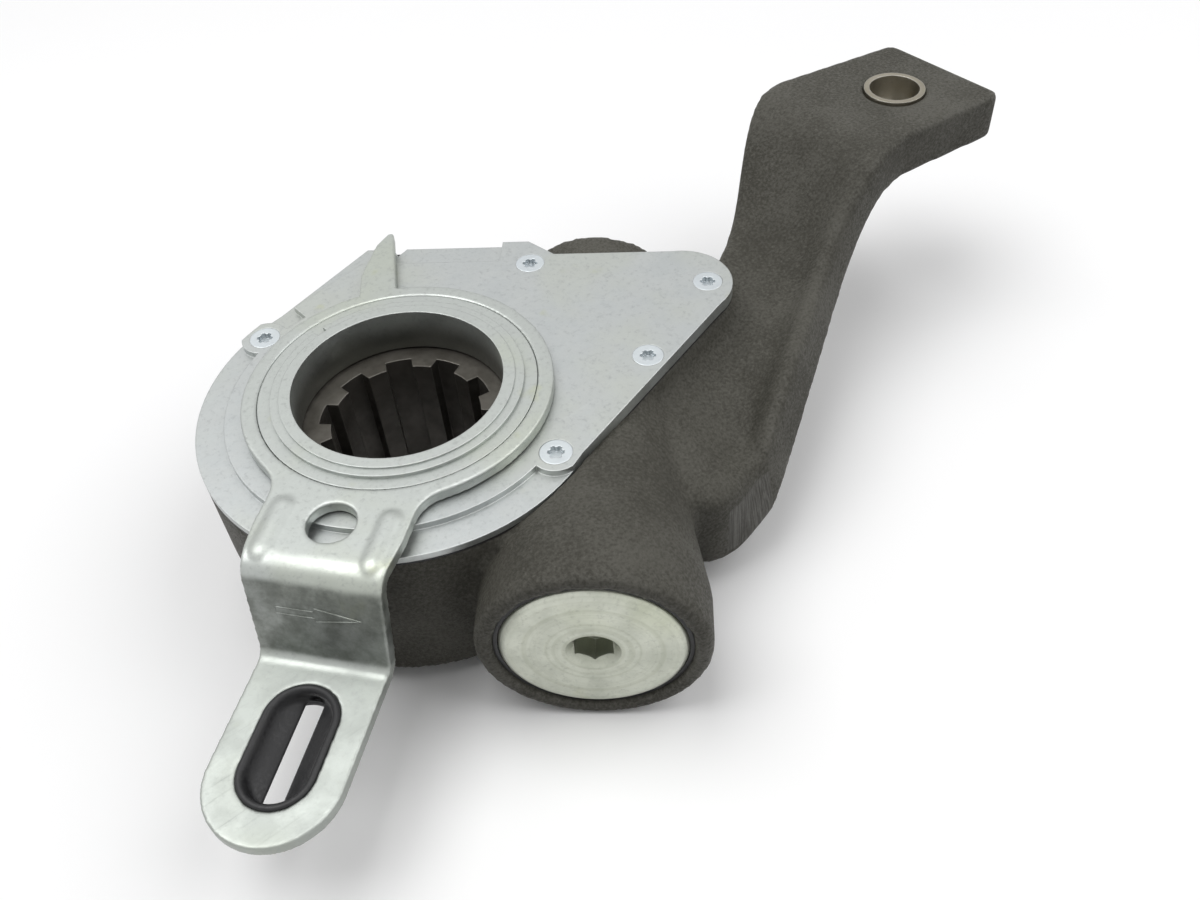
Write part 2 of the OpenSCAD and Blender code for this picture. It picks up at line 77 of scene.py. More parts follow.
# Shaping of the cast arm, in mm. Points between SHAPED_LOW and SHAPED_HIGH are leaned and sunk.
# Each pair is where an effect starts and where it is full.
# DISH_RISE is a share of the height from keel to crest.
SHAPED_LOW = (42, -np.inf, -np.inf)
SHAPED_HIGH = (136, 12, 36)
LEAN = 4.0
LEAN_FROM_PAD = (128, 106)
LEAN_FROM_DRUM = (42, 54)
LEAN_INSET = (16.0, 0.0)
DISH = 3.0
DISH_BEHIND_RIDGE = (2.0, 9.0)
DISH_FROM_DRUM_SIDE = (34.0, 18.0)
DISH_RISE = (0.7, 0.95)
EASED_FROM_DRUM = (46, 56)
EASED_FROM_PAD = (140, 126)
EASED_INSET = (36.0, 24.0)
EASE_PASSES = 12
EDGE_BLEND = 2.5
FRONT_CORNER = np.array([38, -54, -3])
CORNER_REACH = 7.0
CORNER_PASSES = 45

# Camera, found from the ellipses of collar, bush and plug and the corners of the spline's slots
PHOTO_WIDTH = 1200
FOCAL_PX = 1102.2
SENSOR_MM = 36
CAMERA_AT = Vector((-65.1, -165.8, 180.6)) * MM
CAMERA_AZ = math.radians(-34.93)
CAMERA_EL = math.radians(46.45)
CAMERA_ROLL = math.radians(-4.43)

# The part's middle, in metres
LAMPS_LOOK_AT = Vector((0.05, -0.01, 0.0))


# Shader nodes

def new_group(name, inputs, outputs):
    """An empty shader group with float, vector or colour sockets."""
    tree = bpy.data.node_groups.new(name, "ShaderNodeTree")
    for label, kind, value in inputs:
        socket = tree.interface.new_socket(label, in_out="INPUT", socket_type="NodeSocket" + kind)
        if value is not None:
            socket.default_value = value
    for label, kind in outputs:
        tree.interface.new_socket(label, in_out="OUTPUT", socket_type="NodeSocket" + kind)
    return tree, tree.nodes.new("NodeGroupInput"), tree.nodes.new("NodeGroupOutput")


def noise(tree, vector, scale, detail=4.0, rough=0.55):
    """A noise node on the given vector socket, with its scale in features per metre."""
    node = tree.nodes.new("ShaderNodeTexNoise")
    node.inputs["Detail"].default_value = detail
    node.inputs["Roughness"].default_value = rough
    if isinstance(scale, (int, float)):
        node.inputs["Scale"].default_value = scale
    else:
        tree.links.new(scale, node.inputs["Scale"])
    tree.links.new(vector, node.inputs["Vector"])
    return node.outputs["Fac"]


def maths(tree, kind, a, b):
    """One maths node; a and b are sockets or numbers."""
    node = tree.nodes.new("ShaderNodeMath")
    node.operation = kind
    for slot, value in zip(node.inputs, (a, b)):
        if isinstance(value, (int, float)):
            slot.default_value = value
        else:
            tree.links.new(value, slot)
    return node.outputs[0]


def times(tree, a, b):
    """The product of two sockets, or of a socket and a number."""
    return maths(tree, "MULTIPLY", a, b)


def weighed(tree, a, share_a, b, share_b):
    """The sum of two sockets, each times its share."""
    return maths(tree, "ADD", times(tree, a, share_a), times(tree, b, share_b))


def ramp(tree, value, low, high, to_low=0.0, to_high=1.0):
    """Maps low..high smoothly to to_low..to_high, held at the ends."""
    node = tree.nodes.new("ShaderNodeMapRange")
    node.interpolation_type = "SMOOTHSTEP"
    for label, number in (("From Min", low), ("From Max", high), ("To Min", to_low), ("To Max", to_high)):
        node.inputs[label].default_value = number
    tree.links.new(value, node.inputs["Value"])
    return node.outputs["Result"]


def blend_colour(tree, fac, a, b, kind="MIX"):
    """Mixes two colours, each a socket or a tuple, by a factor socket or number."""
    node = tree.nodes.new("ShaderNodeMix")
    node.data_type = "RGBA"
    node.blend_type = kind
    for slot, value in ((node.inputs[0], fac), (node.inputs[6], a), (node.inputs[7], b)):
        if isinstance(value, (int, float)):
            slot.default_value = value
        elif isinstance(value, (tuple, list)):
            slot.default_value = (*value[:3], 1.0)
        else:
            tree.links.new(value, slot)
    return node.outputs[2]


def streaks(tree, vector, turn, scale):
    """Noise drawn out along one direction of coordinates turned about Z."""
    stretch = tree.nodes.new("ShaderNodeMapping")
    stretch.inputs["Rotation"].default_value = (0.0, 0.0, turn)
    stretch.inputs["Scale"].default_value = scale
    tree.links.new(vector, stretch.inputs["Vector"])
    return noise(tree, stretch.outputs["Vector"], scale=1.0, detail=3.0, rough=0.6)


# Shader groups

def cast_grain_group():
    """Sand-cast skin: a mottled tone, pale specks, and a height of fine grain over coarse."""
    tree, given, out = new_group("cast_grain", [("Vector", "Vector", None), ("Grain", "Float", 900.0)],
                                 [("Tone", "Float"), ("Speck", "Float"), ("Height", "Float")])
    vector, grain = given.outputs["Vector"], given.outputs["Grain"]
    broad = noise(tree, vector, scale=55.0, detail=3.0)
    fine = noise(tree, vector, grain, detail=6.0, rough=0.65)
    coarse = noise(tree, vector, scale=330.0)
    tree.links.new(ramp(tree, weighed(tree, broad, 0.35, fine, 0.65), 0.36, 0.64), out.inputs["Tone"])
    tree.links.new(ramp(tree, fine, 0.64, 0.76), out.inputs["Speck"])
    tree.links.new(weighed(tree, fine, 0.55, coarse, 0.45), out.inputs["Height"])
    return tree


def zinc_film_group():
    """Plated sheet: cloudy tone, patches of tint, small stains, scratches, grit and a fine peel."""
    tree, given, out = new_group("zinc_film", [("Vector", "Vector", None)],
                                 [("Cloud", "Float"), ("Tint", "Float"), ("Stain", "Float"),
                                  ("Scratch", "Float"), ("Grit", "Float"), ("Height", "Float")])
    vector = given.outputs["Vector"]
    cloud = noise(tree, vector, scale=160.0, detail=5.0, rough=0.6)
    tint = noise(tree, vector, scale=38.0, detail=3.0, rough=0.5)
    scratch = streaks(tree, vector, turn=0.6, scale=(60.0, 2600.0, 900.0))
    peel = noise(tree, vector, scale=1500.0, rough=0.6)
    drops = noise(tree, vector, scale=85.0, detail=2.0, rough=0.5)
    grit = noise(tree, vector, scale=950.0, detail=6.0, rough=0.7)
    stain = times(tree, ramp(tree, drops, 0.66, 0.74), ramp(tree, cloud, 0.35, 0.6))
    tree.links.new(ramp(tree, cloud, 0.3, 0.7), out.inputs["Cloud"])
    tree.links.new(stain, out.inputs["Stain"])
    tree.links.new(ramp(tree, grit, 0.5, 0.72), out.inputs["Grit"])
    tree.links.new(ramp(tree, tint, 0.48, 0.68), out.inputs["Tint"])
    tree.links.new(ramp(tree, scratch, 0.55, 0.75), out.inputs["Scratch"])
    tree.links.new(weighed(tree, peel, 0.7, scratch, 0.3), out.inputs["Height"])
    return tree


def soft_edge_group():
    """Edge mask, how far a rounded normal leans away from the true one, and that rounded normal."""
    tree, given, out = new_group("soft_edge", [("Radius", "Float", 0.6 * MM)],
                                 [("Edge", "Float"), ("Normal", "Vector")])
    bevel = tree.nodes.new("ShaderNodeBevel")
    bevel.samples = 6
    tree.links.new(given.outputs["Radius"], bevel.inputs["Radius"])
    flat = tree.nodes.new("ShaderNodeNewGeometry")
    dot = tree.nodes.new("ShaderNodeVectorMath")
    dot.operation = "DOT_PRODUCT"
    tree.links.new(bevel.outputs["Normal"], dot.inputs[0])
    tree.links.new(flat.outputs["Normal"], dot.inputs[1])
    tree.links.new(ramp(tree, dot.outputs["Value"], 0.7, 0.98, 1.0, 0.0), out.inputs["Edge"])
    tree.links.new(bevel.outputs["Normal"], out.inputs["Normal"])
    return tree


CAST_GRAIN = cast_grain_group()
ZINC_FILM = zinc_film_group()
SOFT_EDGE = soft_edge_group()


# Helpers for materials

def place(tree, group, vector=None, **values):
    """Puts a group in a material with its own values."""
    node = tree.nodes.new("ShaderNodeGroup")
    node.node_tree = group
    if vector is not None:
        tree.links.new(vector, node.inputs["Vector"])
    for label, value in values.items():
        node.inputs[label].default_value = value
    return node.outputs


def object_coordinates(tree):
    """The socket of Object coordinates."""
    return tree.nodes.new("ShaderNodeTexCoord").outputs["Object"]


def start_material(name, metallic, roughness, specular=0.5):
    """A material with its Principled shader, and the Object coordinate socket."""
    mat = bpy.data.materials.new(name)
    mat.use_nodes = True
    tree = mat.node_tree
    shader = tree.nodes["Principled BSDF"]
    shader.inputs["Metallic"].default_value = metallic
    shader.inputs["Roughness"].default_value = roughness
    shader.inputs["Specular IOR Level"].default_value = specular
    return mat, tree, shader, object_coordinates(tree)


def reopen(mat):
    """A finished material's tree, shader, Object coordinates and the colour that feeds its shader."""
    tree = mat.node_tree
    shader = tree.nodes["Principled BSDF"]
    return tree, shader, object_coordinates(tree), shader.inputs["Base Color"].links[0].from_socket


def bump(tree, shader, height, distance, strength, normal=None):
    """Bump from a height socket, over a rounded normal where one is given."""
    node = tree.nodes.new("ShaderNodeBump")
    node.inputs["Distance"].default_value = distance
    node.inputs["Strength"].default_value = strength
    tree.links.new(height, node.inputs["Height"])
    if normal is not None:
        tree.links.new(normal, node.inputs["Normal"])
    tree.links.new(node.outputs["Normal"], shader.inputs["Normal"])


def box_mask(tree, place_at, low, high, soft):
    """1 inside a box given in mm, fading to 0 over soft mm outside it."""
    parts = tree.nodes.new("ShaderNodeSeparateXYZ")
    tree.links.new(place_at, parts.inputs[0])
    inside = None
    for socket, a, b in zip(parts.outputs, low, high):
        rise = ramp(tree, socket, (a - soft) * MM, a * MM)
        fall = ramp(tree, socket, b * MM, (b + soft) * MM, 1.0, 0.0)
        both = times(tree, rise, fall)
        inside = both if inside is None else times(tree, inside, both)
    return inside


def round_distance(tree, place_at, axis_at, axis_turn):
    """Distance from an axis through axis_at, along the X direction turned by axis_turn."""
    centre = tree.nodes.new("ShaderNodeMapping")
    centre.vector_type = "TEXTURE"
    centre.inputs["Location"].default_value = axis_at
    centre.inputs["Rotation"].default_value = axis_turn
    tree.links.new(place_at, centre.inputs["Vector"])
    flat = tree.nodes.new("ShaderNodeVectorMath")
    flat.operation = "MULTIPLY"
    flat.inputs[1].default_value = (0.0, 1.0, 1.0)
    tree.links.new(centre.outputs["Vector"], flat.inputs[0])
    size = tree.nodes.new("ShaderNodeVectorMath")
    size.operation = "LENGTH"
    tree.links.new(flat.outputs["Vector"], size.inputs[0])
    return size.outputs["Value"]


# Finishes

def cast_iron():
    """Dark casting: brown-grey mottle, rubbed ridges, painted shade in creases, sandy bump and one flat with
    grinding lines.
    """
    skin_dark, skin_pale, speck = (0.0425, 0.0405, 0.0325), (0.085, 0.082, 0.069), (0.118, 0.114, 0.098)
    ridge, crease_shade = (0.16, 0.155, 0.14), (0.024, 0.022, 0.018)
    ground_dark, ground_pale = (0.075, 0.072, 0.064), (0.15, 0.147, 0.135)
    flat_low, flat_high, flat_fade = (43, -70, -12), (56, -54, 0), 1.2
    mat, tree, shader, place_at = start_material("cast_iron", metallic=0.0, roughness=0.6, specular=0.22)
    grain = place(tree, CAST_GRAIN, place_at, Grain=1400.0)
    bend = tree.nodes.new("ShaderNodeNewGeometry").outputs["Pointiness"]
    base = blend_colour(tree, grain["Tone"], skin_dark, skin_pale)
    speckled = blend_colour(tree, grain["Speck"], base, speck)
    worn = times(tree, ramp(tree, bend, 0.515, 0.58), ramp(tree, grain["Tone"], 0.0, 0.7, 0.25, 0.75))
    rubbed = blend_colour(tree, worn, speckled, ridge)
    # Painted shade: darker where the surface is concave, in creases and inner corners.
    hollow = blend_colour(tree, ramp(tree, bend, 0.44, 0.49, 0.55, 0.0), rubbed, crease_shade)
    ground = box_mask(tree, place_at, flat_low, flat_high, flat_fade)
    lines = streaks(tree, place_at, turn=0.1, scale=(2600.0, 900.0, 70.0))
    steel = blend_colour(tree, ramp(tree, lines, 0.35, 0.65), ground_dark, ground_pale)
    tree.links.new(blend_colour(tree, ground, hollow, steel), shader.inputs["Base Color"])
    tree.links.new(ramp(tree, grain["Tone"], 0.0, 1.0, 0.7, 0.5), shader.inputs["Roughness"])
    rough = times(tree, grain["Height"], maths(tree, "SUBTRACT", 1.0, ground))
    height = maths(tree, "ADD", rough, times(tree, lines, ground))
    bump(tree, shader, height, distance=0.65 * MM, strength=0.95)
    return mat


def zinc(name, clear, cloudy, tint, rough):
    """Bright plating: two greys mixed by cloud, patches of tint, stains and grit, and scratched gloss."""
    stain, bare_edge = (0.40, 0.42, 0.25), (0.66, 0.68, 0.67)
    grit = [0.7 * q for q in cloudy]
    mat, tree, shader, place_at = start_material(name, metallic=0.85, roughness=rough)
    film = place(tree, ZINC_FILM, place_at)
    edge = place(tree, SOFT_EDGE, Radius=0.35 * MM)
    base = blend_colour(tree, film["Cloud"], clear, cloudy)
    tinted = blend_colour(tree, times(tree, film["Tint"], 0.4), base, tint)
    stained = blend_colour(tree, times(tree, film["Stain"], 0.5), tinted, stain)
    gritty = blend_colour(tree, times(tree, film["Grit"], 0.55), stained, grit)
    worn = blend_colour(tree, times(tree, edge["Edge"], 0.5), gritty, bare_edge)
    tree.links.new(worn, shader.inputs["Base Color"])
    dullness = ramp(tree, film["Cloud"], 0.0, 1.0, rough - 0.05, rough + 0.07)
    scratched = maths(tree, "ADD", dullness, times(tree, film["Scratch"], 0.12))
    tree.links.new(scratched, shader.inputs["Roughness"])
    bump(tree, shader, film["Height"], distance=0.06 * MM, strength=0.35, normal=edge["Normal"])
    return mat


def turned(mat, axis_at, axis_turn, tint, socket_mm):
    """Uneven lathe rings round an axis over a finish, with grime in the middle up to socket_mm."""
    rings_per_metre, wander, grime_fade = 900.0, 1.2, 1.5
    ring_line, grime = [0.62 * q for q in tint], [0.34 * q for q in tint]
    tree, shader, place_at, plate = reopen(mat)
    far = round_distance(tree, place_at, axis_at, axis_turn)
    ring_at = tree.nodes.new("ShaderNodeCombineXYZ")
    tree.links.new(times(tree, far, rings_per_metre), ring_at.inputs["X"])
    tree.links.new(times(tree, noise(tree, place_at, scale=60.0), wander), ring_at.inputs["Y"])
    rings = noise(tree, ring_at.outputs["Vector"], scale=1.0, detail=2.0, rough=0.5)
    ringed = blend_colour(tree, ramp(tree, rings, 0.42, 0.66, 0.0, 0.25), plate, ring_line)
    middle = ramp(tree, far, (socket_mm - grime_fade) * MM, (socket_mm + grime_fade) * MM, 1.0, 0.0)
    tree.links.new(blend_colour(tree, times(tree, middle, 0.45), ringed, grime), shader.inputs["Base Color"])
    normal = shader.inputs["Normal"].links[0].from_socket
    bump(tree, shader, rings, distance=0.12 * MM, strength=0.4, normal=normal)
    return mat


def shaded_bore(mat, radius_mm, top_mm, low_mm):
    """Darkens a finish inside the collar, more with depth: painted shade."""
    oil_and_shade, fade_from, fade_to = (0.10, 0.10, 0.088), 0.2, 0.6
    tree, shader, place_at, plate = reopen(mat)
    far = round_distance(tree, place_at, ORIGIN, UPRIGHT)
    parts = tree.nodes.new("ShaderNodeSeparateXYZ")
    tree.links.new(place_at, parts.inputs[0])
    deep = ramp(tree, parts.outputs["Z"], low_mm * MM, top_mm * MM, 0.85, 0.0)
    inside = ramp(tree, far, (radius_mm + fade_from) * MM, (radius_mm + fade_to) * MM, 1.0, 0.0)
    # Painted shade: the bore's wall darkens with depth below the collar's top.
    tree.links.new(blend_colour(tree, times(tree, deep, inside), plate, oil_and_shade), shader.inputs["Base Color"])
    return mat


def riser_shade_and_grey_foot(mat):
    """Darkens the control arm's plating: painted shade in blotches on its riser, a darker grey evenly on its
    slotted foot.
    """
    riser_shade, foot_grey = (0.145, 0.155, 0.14), (0.30, 0.32, 0.295)
    riser_low, riser_high = (51.2, -20, 3.4), (57.2, 20, 19.6)
    foot_low, foot_high, fade = (56.5, -20, -6), (95, 20, 1.6), 1.6
    tree, shader, place_at, plate = reopen(mat)
    along = tree.nodes.new("ShaderNodeMapping")
    along.inputs["Rotation"].default_value = (0.0, 0.0, -CONTROL_ANGLE)
    tree.links.new(place_at, along.inputs["Vector"])
    riser = box_mask(tree, along.outputs["Vector"], riser_low, riser_high, fade)
    foot = box_mask(tree, along.outputs["Vector"], foot_low, foot_high, fade)
    blotch = ramp(tree, noise(tree, place_at, scale=210.0, detail=5.0, rough=0.65), 0.3, 0.7, 0.5, 1.0)
    # Painted shade on the riser, in blotches.
    shaded_riser = blend_colour(tree, times(tree, riser, blotch), plate, riser_shade)
    tree.links.new(blend_colour(tree, times(tree, foot, 0.6), shaded_riser, foot_grey), shader.inputs["Base Color"])
    return mat


def bright_screws(mat):
    """Painted highlight: paler, bluer plating within the head's radius of each screw's upright axis."""
    screw_glint, rim_fade = (0.60, 0.65, 0.69), 0.2
    tree, shader, place_at, colour = reopen(mat)
    for name in SCREWS:
        low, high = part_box(name)
        middle = [(a + b) / 2 for a, b in zip(low, high)]
        far = round_distance(tree, place_at, middle, UPRIGHT)
        head = ramp(tree, far, (SCREW_HEAD - rim_fade) * MM, SCREW_HEAD * MM, 0.6, 0.0)
        # Painted highlight on each screw head.
        colour = blend_colour(tree, head, colour, screw_glint)
    tree.links.new(colour, shader.inputs["Base Color"])
    return mat


def gear_steel():
    """Oiled machined steel, brown-grey with dark films, paler on the wheel's turned top face."""
    steel_dark, steel_pale, oil_and_shade = (0.058, 0.053, 0.046), (0.095, 0.088, 0.078), (0.045, 0.039, 0.032)
    face_dark, face_pale, bare_edge = (0.085, 0.078, 0.066), (0.135, 0.126, 0.11), (0.26, 0.25, 0.23)
    wheel_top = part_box("worm_wheel")[1][2] / MM
    wheel_half, face_depth, face_fade = 25, 0.15, 0.1
    mat, tree, shader, place_at = start_material("gear_steel", metallic=0.6, roughness=0.45)
    film = place(tree, ZINC_FILM, place_at)
    grain = place(tree, CAST_GRAIN, place_at, Grain=700.0)
    edge = place(tree, SOFT_EDGE, Radius=0.4 * MM)
    base = blend_colour(tree, film["Cloud"], steel_dark, steel_pale)
    oiled = blend_colour(tree, times(tree, film["Tint"], 0.5), base, oil_and_shade)
    face = box_mask(tree, place_at, (-wheel_half, -wheel_half, wheel_top - face_depth),
                    (wheel_half, wheel_half, wheel_top + 1), face_fade)
    machined = blend_colour(tree, film["Cloud"], face_dark, face_pale)
    faced = blend_colour(tree, times(tree, face, 0.9), oiled, machined)
    worn = blend_colour(tree, times(tree, edge["Edge"], 0.6), faced, bare_edge)
    tree.links.new(worn, shader.inputs["Base Color"])
    tree.links.new(ramp(tree, grain["Tone"], 0.0, 1.0, 0.34, 0.52), shader.inputs["Roughness"])
    bump(tree, shader, grain["Height"], distance=0.1 * MM, strength=0.4, normal=edge["Normal"])
    return mat


def moulded_rubber():
    """Black moulding, faintly grey and rubbed at its edges."""
    black, grey, rubbed = (0.008, 0.008, 0.009), (0.020, 0.020, 0.021), (0.06, 0.06, 0.062)
    mat, tree, shader, place_at = start_material("moulded_rubber", metallic=0.0, roughness=0.5, specular=0.4)
    grain = place(tree, CAST_GRAIN, place_at, Grain=1600.0)
    edge = place(tree, SOFT_EDGE, Radius=0.4 * MM)
    base = blend_colour(tree, grain["Tone"], black, grey)
    worn = blend_colour(tree, times(tree, edge["Edge"], 0.5), base, rubbed)
    tree.links.new(worn, shader.inputs["Base Color"])
    tree.links.new(ramp(tree, grain["Tone"], 0.0, 1.0, 0.38, 0.6), shader.inputs["Roughness"])
    bump(tree, shader, grain["Height"], distance=0.15 * MM, strength=0.4, normal=edge["Normal"])
    return mat


def cover_zinc():
    """Blue-grey plating of the cover, with painted highlights on the screw heads."""
    plate = zinc("cover_zinc", clear=(0.475, 0.495, 0.49), cloudy=(0.41, 0.43, 0.43),
                 tint=(0.45, 0.47, 0.41), rough=0.40)
    return bright_screws(plate)


def arm_zinc():
    """Greener plating of the control arm, with painted shade deeper in the collar's bore and in blotches on
    the riser, and a darker grey on the slotted foot.
    """
    plate = zinc("arm_zinc", clear=(0.45, 0.475, 0.455), cloudy=(0.395, 0.415, 0.40),
                 tint=(0.42, 0.45, 0.365), rough=0.42)
    return riser_shade_and_grey_foot(shaded_bore(plate, COLLAR_BORE, top_mm=24.0, low_mm=17.0))


def plug_zinc():
    """Yellow-green plating of the end plug over lathe rings round the worm's axis."""
    tint = (0.50, 0.53, 0.38)
    worm_at = (AXIS_GAP * MM * math.sin(WORM_ANGLE), -AXIS_GAP * MM * math.cos(WORM_ANGLE), 0.0)
    plate = zinc("plug_zinc", clear=(0.61, 0.63, 0.55), cloudy=(0.50, 0.52, 0.45), tint=tint, rough=0.36)
    return turned(plate, worm_at, (0.0, 0.0, WORM_ANGLE), tint, socket_mm=5.0)


def plain_bush():
    """Bearing metal, silver-brown, lightly scored round the bore."""
    tint = (0.23, 0.20, 0.14)
    metal = zinc("plain_bush", clear=(0.27, 0.245, 0.19), cloudy=(0.32, 0.295, 0.24), tint=tint, rough=0.36)
    return turned(metal, (ARM_LENGTH * MM, 0.0, 0.0), UPRIGHT, tint, socket_mm=2.0)


FINISHES = {
    "body_iron": cast_iron(),
    "cover_zinc": cover_zinc(),
    "arm_zinc": arm_zinc(),
    "plug_zinc": plug_zinc(),
    "bush_metal": plain_bush(),
    "gear_steel": gear_steel(),
    "seal_rubber": moulded_rubber(),
}


def dress(obj, slot):
    """Gives an object one finish only."""
    obj.data.materials.clear()
    obj.data.materials.append(FINISHES[slot])


for part in frame["record"]["subparts"]:
    dress(frame["nodes"][part["node"]], part["material_slot"])


# Pieces

def link(name, mesh, body, slot):
    """Puts a finished mesh into the scene on its body and finish."""
    obj = bpy.data.objects.new(name, mesh)
    bpy.context.scene.collection.objects.link(obj)
    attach(obj, body)
    dress(obj, slot)
    return obj


def merged_copy(node):
    """A copy of a CAD node's mesh with its loose triangles joined."""
    mesh = frame["nodes"][node].data.copy()
    work = bmesh.new()
    work.from_mesh(mesh)
    bmesh.ops.remove_doubles(work, verts=work.verts, dist=0.002 * MM)
    work.to_mesh(mesh)
    work.free()
    return mesh


def cast_skin(node, name, slot, body, voxel_mm, passes):
    """The node's solid rebuilt on an even grid, then eased so that edges and inner corners blend."""
    obj = link(name, merged_copy(node), body, slot)
    grid = obj.modifiers.new("even_grid", "REMESH")
    grid.mode = "VOXEL"
    grid.voxel_size = voxel_mm * MM
    grid.use_smooth_shade = True
    soften = obj.modifiers.new("cast_blend", "SMOOTH")
    soften.factor = 0.5
    soften.iterations = passes
    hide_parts(node)
    return obj


def bake(obj):
    """Turns an object's modifiers into its mesh."""
    shaped = bpy.data.meshes.new_from_object(obj.evaluated_get(bpy.context.evaluated_depsgraph_get()))
    obj.modifiers.clear()
    obj.data = shaped
    return shaped


def smooth_step(low, high, value):
    """0 at low, 1 at high, an S-curve between."""
    t = np.clip((value - low) / (high - low), 0.0, 1.0)
    return t * t * (3.0 - 2.0 * t)


def cubic(corners, count):
    """Points of a cubic curve from its first corner to its last, drawn towards the two between."""
    a, b, c, d = np.array(corners, float)
    t = np.linspace(0, 1, count)[:, None]
    return (1 - t) ** 3 * a + 3 * t * (1 - t) ** 2 * b + 3 * t * t * (1 - t) * c + t ** 3 * d


def height_along(curves, x):
    """Height at each x of a side profile made of cubic curves that run towards the drum."""
    points = np.concatenate([cubic(corners, count=40) for corners in curves])[::-1]
    return np.interp(x, points[:, 0], points[:, 1])


def outer_edge():
    """Plan of the arm's outer edge from the pad: a cubic and a straight-sided tail, with inward normals."""
    tail_end = 40
    sweep = cubic(ARM_FRONT, count=141)[:-1]
    corners = np.array(ARM_TAIL)[::-1]
    tail_x = np.linspace(corners[-1, 0], tail_end, num=60)
    tail = np.column_stack((tail_x, np.interp(tail_x, corners[:, 0], corners[:, 1])))
    points = np.concatenate((sweep, tail))
    along = np.gradient(points, axis=0)
    along /= np.linalg.norm(along, axis=1)[:, None]
    return points, np.column_stack((along[:, 1], -along[:, 0]))


def ease(mesh, at, share, passes):
    """Moves each point, passes times, half its share of the way to the mean of its neighbours along edges."""
    ends = np.empty(len(mesh.edges) * 2, dtype=np.int32)
    mesh.edges.foreach_get("vertices", ends)
    here, there = np.concatenate((ends[0::2], ends[1::2])), np.concatenate((ends[1::2], ends[0::2]))
    count = np.bincount(here, minlength=len(at))
    for _ in range(passes):
        mean = np.column_stack([np.bincount(here, at[there, k], len(at)) / count for k in range(3)])
        at += 0.5 * share[:, None] * (mean - at)


def forge_arm(mesh):
    """Leans the arm's outer wall inward from keel to crest, sinks the web behind its ridge and eases both.

    A point's inward direction is the mean of the edge's normals, each weighed by e to the power of minus its
    extra distance over EDGE_BLEND. The corner at the front end is eased by a bell curve of distance.
    """
    flat = np.empty(len(mesh.vertices) * 3)
    mesh.vertices.foreach_get("co", flat)
    at = flat.reshape(-1, 3) / MM
    near = np.flatnonzero(((at > SHAPED_LOW) & (at < SHAPED_HIGH)).all(axis=1))
    edge, inward = outer_edge()
    spot = at[near]
    gaps = np.linalg.norm(spot[:, None, :2] - edge[None], axis=2)
    inset = gaps.min(axis=1)
    toward = np.exp((inset[:, None] - gaps) / EDGE_BLEND) @ inward
    toward /= np.linalg.norm(toward, axis=1)[:, None]
    crest = height_along(ARM_CREST, spot[:, 0])
    keel = height_along(ARM_KEEL, spot[:, 0])
    rise = np.clip((spot[:, 2] - keel) / (crest - keel), 0.0, 1.0)
    share = smooth_step(*LEAN_FROM_PAD, spot[:, 0]) * smooth_step(*LEAN_FROM_DRUM, spot[:, 0])
    shift = LEAN * share * rise * smooth_step(*LEAN_INSET, inset)
    spot[:, :2] += shift[:, None] * toward
    hollow = smooth_step(*DISH_BEHIND_RIDGE, inset) * smooth_step(*DISH_FROM_DRUM_SIDE, inset)
    spot[:, 2] -= DISH * share * smooth_step(*DISH_RISE, rise) * hollow
    at[near] = spot
    eased = np.zeros(len(at))
    eased[near] = (smooth_step(*EASED_FROM_DRUM, spot[:, 0]) * smooth_step(*EASED_FROM_PAD, spot[:, 0])
                   * smooth_step(*EASED_INSET, inset))
    ease(mesh, at, eased, EASE_PASSES)
    corner = np.exp(-np.sum((at - FRONT_CORNER) ** 2, axis=1) / (2 * CORNER_REACH ** 2))
    ease(mesh, at, corner, CORNER_PASSES)
    mesh.vertices.foreach_set("co", (at * MM).ravel())
    mesh.update()


def outward(mesh):
    """Turns every face of a closed mesh outward and shades it smooth."""
    work = bmesh.new()
    work.from_mesh(mesh)
    bmesh.ops.recalc_face_normals(work, faces=work.faces)
    work.to_mesh(mesh)
    work.free()
    mesh.shade_smooth()


def ring_loft(name, rings):
    """A closed loop of closed rings: rings is an array (ring, point, xyz), each ring joined to the next."""
    rows, cols = rings.shape[:2]
    i, j = np.meshgrid(np.arange(rows), np.arange(cols), indexing="ij")
    i1, j1 = (i + 1) % rows, (j + 1) % cols
    faces = np.stack([i * cols + j, i1 * cols + j, i1 * cols + j1, i * cols + j1], -1).reshape(-1, 4)
    mesh = bpy.data.meshes.new(name)
    mesh.from_pydata(rings.reshape(-1, 3).tolist(), [], faces.tolist())
    outward(mesh)
    return mesh


def tube_mesh(name, path, radius, sides=8):
    """A round tube along a closed flat path: each circle lies across the line that joins its neighbours."""
    along = np.roll(path, -1, 0) - np.roll(path, 1, 0)
    along /= np.linalg.norm(along, axis=1)[:, None]
    normal = np.cross(path[1] - path[0], path[2] - path[1])
    normal /= np.linalg.norm(normal)
    side = np.cross(along, normal)
    turn = (np.arange(sides) * 2 * np.pi / sides)[None, :, None]
    return ring_loft(name, path[:, None] + radius * (np.cos(turn) * side[:, None] + np.sin(turn) * normal))


def fine_path(corners, step):
    """A closed polyline with extra points, so that its corners stay sharp in a tube."""
    corners = np.asarray(corners, float)
    after = np.roll(corners, -1, 0)
    shares = [np.linspace(0, 1, max(2, int(np.linalg.norm(b - a) / step)), endpoint=False)
              for a, b in zip(corners, after)]
    return np.concatenate([a + t[:, None] * (b - a) for a, b, t in zip(corners, after, shares)])


def control_axes():
    """Directions of the control arm: along it, across it and up."""
    c, s = math.cos(CONTROL_ANGLE), math.sin(CONTROL_ANGLE)
    return np.array([c, s, 0.0]), np.array([-s, c, 0.0]), np.array([0.0, 0.0, 1.0])


